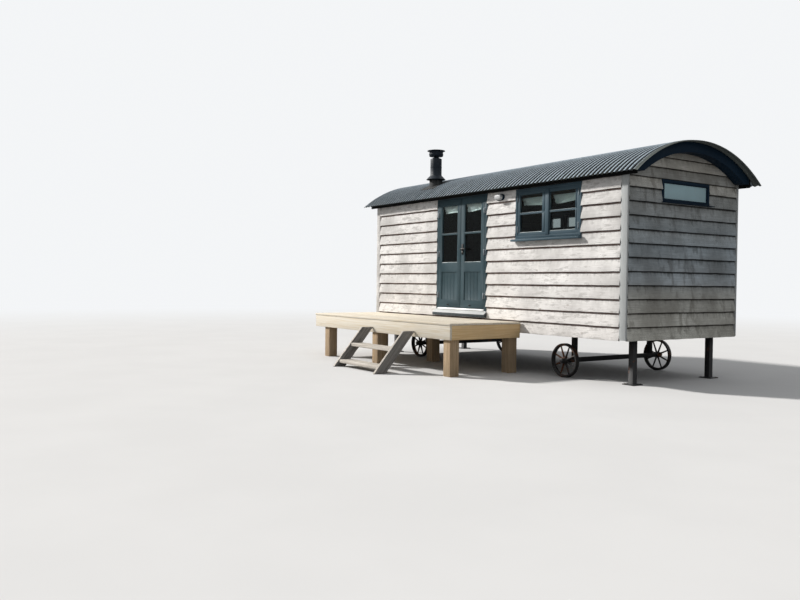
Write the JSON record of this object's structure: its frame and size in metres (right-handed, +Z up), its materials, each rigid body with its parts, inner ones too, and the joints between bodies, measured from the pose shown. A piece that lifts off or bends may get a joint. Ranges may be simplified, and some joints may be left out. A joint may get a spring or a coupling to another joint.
{
  "type": "shepherds hut",
  "caption": "Timber clad hut on cast iron wheels with a curved corrugated roof, double doors, a flue, and a raised deck with steps.",
  "frame": {"origin": "centre of the whole outline in plan, at the level of the ground", "axes": "+X along the hut, to the right as seen from the door side; +Y from the door side to the back; +Z up"},
  "size_m": [6.208, 4.3276, 3.491],
  "materials": {
    "weatherboard": "silver grey weathered sawn boards",
    "roof_timber": "planed softwood boarding",
    "floor_boards": "planed floor boards",
    "roof_sheet": "anthracite coated corrugated sheet",
    "dark_trim": "near black satin paint",
    "flue_steel": "black satin stove paint",
    "flashing_rubber": "matt black",
    "joinery_paint": "blue grey satin paint",
    "sill_timber": "dark paint, worn by feet",
    "threshold_metal": "mill finish",
    "handle_metal": "satin",
    "light_metal": "satin with a ribbed clear lens",
    "clear_glass": "clear sealed unit",
    "frosted_glass": "frosted",
    "blind_cloth": "plain woven",
    "chassis_steel": "black paint with rust at its edges",
    "wheel_iron": "painted black, rusty tread",
    "deck_timber": "fresh sawn softwood",
    "post_timber": "rough sawn softwood",
    "step_timber": "grey weathered boards"
  },
  "bodies": {
    "hut": {"chassis_rails": "chassis_steel", "chassis_cross_members": "chassis_steel", "axles": "chassis_steel", "axle_stands": "chassis_steel", "prop_legs": "chassis_steel", "floor": "floor_boards", "front_wall_left": "weatherboard", "front_wall_right": "weatherboard", "front_wall_at_door": "weatherboard", "back_wall": "weatherboard", "left_end_wall": "weatherboard", "right_end_wall": "weatherboard", "corner_boards": "weatherboard", "roof_boarding": "roof_timber", "corrugated_roof": "roof_sheet", "barge_boards": "dark_trim", "eaves_boards": "dark_trim", "flue_pipe": "flue_steel", "flue_flashing": "flashing_rubber", "flue_cowl": "flue_steel", "bulkhead_light": "light_metal", "door_frame": "joinery_paint", "door_sill": "sill_timber", "door_threshold": "threshold_metal", "front_window_frame": "joinery_paint", "front_window_glass": "clear_glass", "front_window_blind": "blind_cloth", "back_window_frame": "joinery_paint", "back_window_glass": "clear_glass", "end_window_frame": "joinery_paint", "end_window_glass": "frosted_glass", "deck_boards": "deck_timber", "deck_fascia": "deck_timber", "deck_frame": "deck_timber", "deck_posts": "post_timber", "step_strings": "step_timber", "step_treads": "step_timber"},
    "left_leaf": {"left_door": "joinery_paint", "left_door_glass": "clear_glass", "left_door_blind": "blind_cloth"},
    "right_leaf": {"right_door": "joinery_paint", "right_door_glass": "clear_glass", "right_door_blind": "blind_cloth", "door_handle": "handle_metal"},
    "wheel_front_left": {"front_left_wheel": "wheel_iron"},
    "wheel_front_right": {"front_right_wheel": "wheel_iron"},
    "wheel_back_left": {"back_left_wheel": "wheel_iron"},
    "wheel_back_right": {"back_right_wheel": "wheel_iron"}
  },
  "joints": [
    {"name": "left_door_swing", "type": "hinge", "parent": "hut", "child": "left_leaf", "pos_m": [-0.9685, -0.2422, 1.72], "axis": [0, 0, -1], "range_deg": [0, 100]},
    {"name": "right_door_swing", "type": "hinge", "parent": "hut", "child": "right_leaf", "pos_m": [0.1725, -0.2422, 1.72], "axis": [0, 0, 1], "range_deg": [0, 100]},
    {"name": "front_left_wheel_spin", "type": "hinge", "parent": "hut", "child": "wheel_front_left", "pos_m": [-1.69, -0.0652, 0.23], "axis": [0, 1, 0], "continuous": true},
    {"name": "front_right_wheel_spin", "type": "hinge", "parent": "hut", "child": "wheel_front_right", "pos_m": [1.69, -0.0652, 0.23], "axis": [0, 1, 0], "continuous": true},
    {"name": "back_left_wheel_spin", "type": "hinge", "parent": "hut", "child": "wheel_back_left", "pos_m": [-1.69, 1.8548, 0.23], "axis": [0, 1, 0], "continuous": true},
    {"name": "back_right_wheel_spin", "type": "hinge", "parent": "hut", "child": "wheel_back_right", "pos_m": [1.69, 1.8548, 0.23], "axis": [0, 1, 0], "continuous": true}
  ]
}
